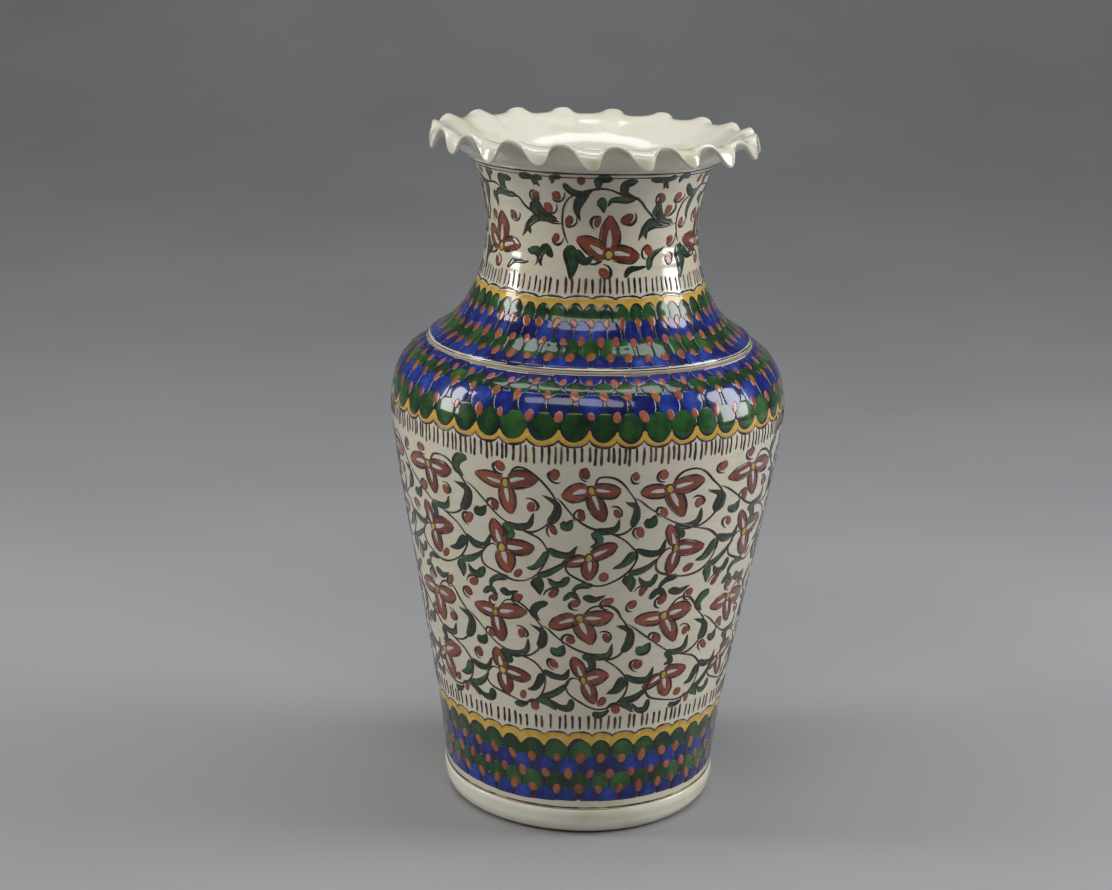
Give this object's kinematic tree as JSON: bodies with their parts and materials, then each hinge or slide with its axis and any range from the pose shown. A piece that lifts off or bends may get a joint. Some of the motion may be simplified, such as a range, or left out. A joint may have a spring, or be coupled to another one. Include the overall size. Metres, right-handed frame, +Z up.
{
  "type": "vase",
  "caption": "Painted tin-glazed earthenware vase with a tapered belly, stepped shoulder, waisted neck and fluted flaring rim.",
  "frame": {"origin": "centre of the ring the vase stands on, at the height of the table", "axes": "+Z up the pot's axis from foot to rim, +X to the right and +Y away from the side that the main view looks at"},
  "size_m": [0.1742, 0.1742, 0.3042],
  "materials": {
    "clay": "fired earthenware, buff to terracotta, matt",
    "slip": "fired slip, matt",
    "white_glaze": "glossy tin glaze, off-white",
    "cream_glaze": "glossy tin glaze, cream"
  },
  "bodies": {
    "root": {"foot_ring": "clay", "belly": "clay", "shoulder_and_neck": "clay", "fluted_rim": "clay", "foot_slip": "slip", "shoulder_slip": "slip", "rim_slip": "slip", "foot_glaze": "cream_glaze", "rim_glaze": "cream_glaze", "belly_glaze": "white_glaze", "shoulder_glaze": "white_glaze", "inner_glaze": "white_glaze"}
  },
  "joints": []
}
